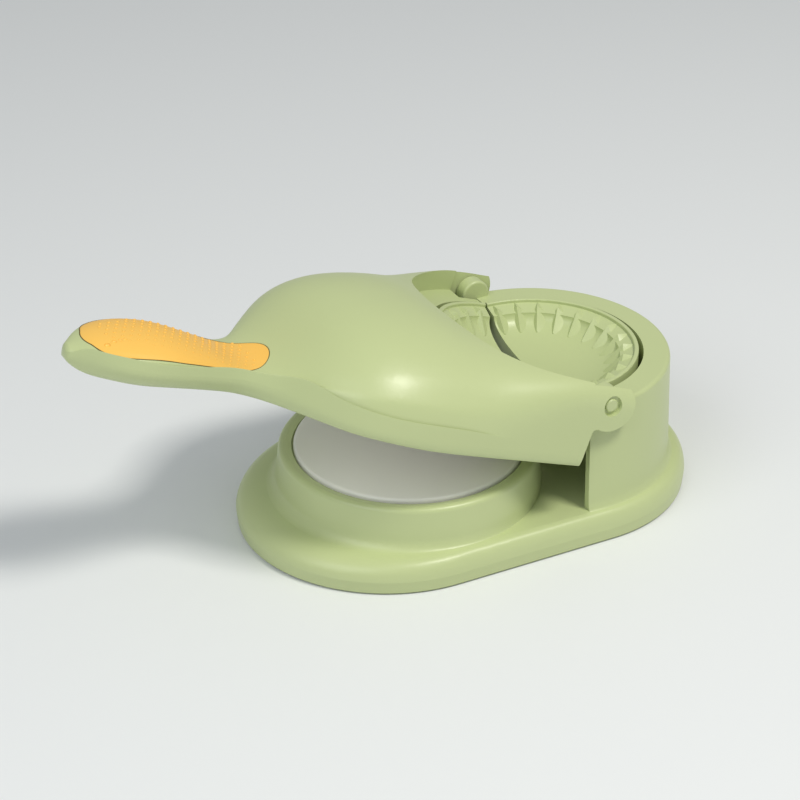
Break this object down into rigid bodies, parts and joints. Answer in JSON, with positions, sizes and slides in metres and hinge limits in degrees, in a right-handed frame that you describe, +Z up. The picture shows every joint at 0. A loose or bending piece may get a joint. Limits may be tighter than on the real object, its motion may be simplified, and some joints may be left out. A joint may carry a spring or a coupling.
{
  "type": "empanada press",
  "caption": "Hand press for round dough wrappers with a two-half pleating mould for empanadas or dumplings on one hinged lever.",
  "frame": {"origin": "centre of the footprint on the table", "axes": "+Z up, +X from the handle towards the tower, +Y to the right of somebody who faces the handle end from the tower"},
  "size_m": [0.2609, 0.121, 0.1097],
  "materials": {
    "green_plastic": "satin",
    "white_plastic": "satin",
    "grip_soft": "matte",
    "washer_plastic": "matte",
    "foot_rubber": "matte",
    "screw_steel": "satin"
  },
  "bodies": {
    "base": {"base_shell": "green_plastic", "base_cover": "green_plastic", "base_cover_screws": "screw_steel", "foot_front_left": "foot_rubber", "foot_front_right": "foot_rubber", "foot_rear_left": "foot_rubber", "foot_rear_right": "foot_rubber", "foot_centre": "foot_rubber", "dough_plate": "white_plastic", "rear_mould_half": "green_plastic", "rear_mould_screws": "screw_steel", "hinge_pin_left": "green_plastic", "hinge_pin_right": "green_plastic", "hinge_washer_left": "washer_plastic", "hinge_washer_right": "washer_plastic"},
    "lever": {"lever_shell": "green_plastic", "lever_cover": "green_plastic", "lever_cover_screws": "screw_steel", "press_plate": "white_plastic", "press_plate_screws": "screw_steel", "front_mould_half": "green_plastic", "front_mould_screws": "screw_steel", "grip_inlay": "grip_soft"}
  },
  "joints": [
    {"name": "lever_hinge", "type": "hinge", "parent": "base", "child": "lever", "pos_m": [0.0325, 0, 0.0596], "axis": [0, 1, 0], "range_deg": [-20.3, 159.7]}
  ]
}
